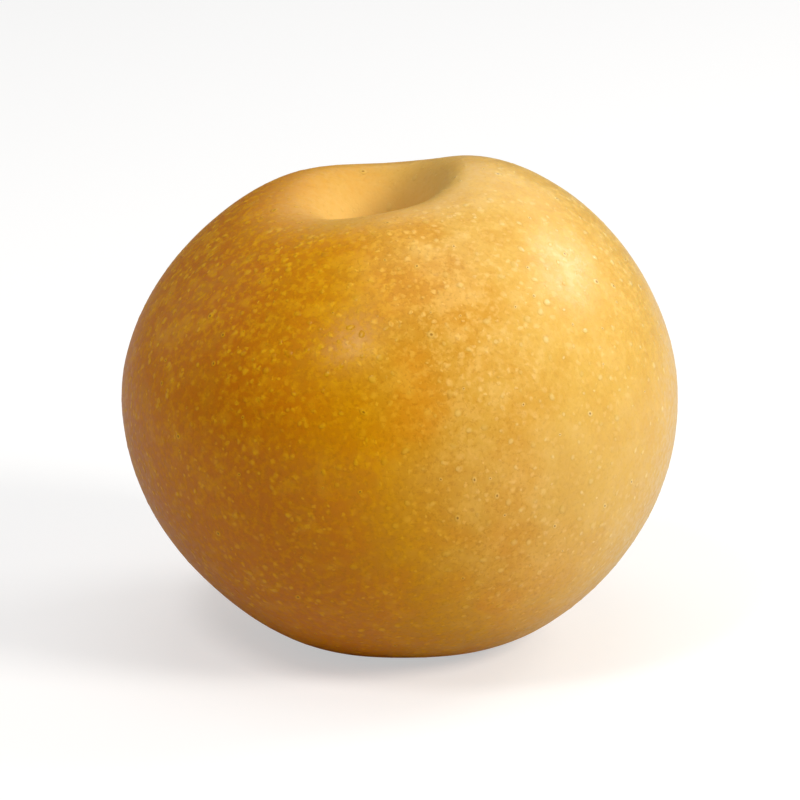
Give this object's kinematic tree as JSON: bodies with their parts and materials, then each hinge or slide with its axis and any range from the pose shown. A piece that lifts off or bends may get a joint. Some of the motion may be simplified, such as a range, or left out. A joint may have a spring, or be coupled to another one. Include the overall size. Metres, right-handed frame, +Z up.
{
  "type": "pear",
  "caption": "Round, slightly lopsided Asian pear with a deep stalk cavity, a clipped stalk and a dried flower end, standing on the flat ring around its eye.",
  "frame": {"origin": "under the middle of the fruit's outline, on the plane that it stands on", "axes": "+Z up through the fruit, from the eye towards the stalk; -Y towards the side seen from the front; +X to the right"},
  "size_m": [0.086, 0.086, 0.0747],
  "materials": {
    "skin": "golden russet pear skin, satin, with fine pale lenticels",
    "stalk": "dull woody stalk with a darker clipped end",
    "calyx": "dull, dry and shrivelled"
  },
  "bodies": {
    "root": {"fruit": "skin", "stalk": "stalk", "calyx": "calyx"}
  },
  "joints": []
}
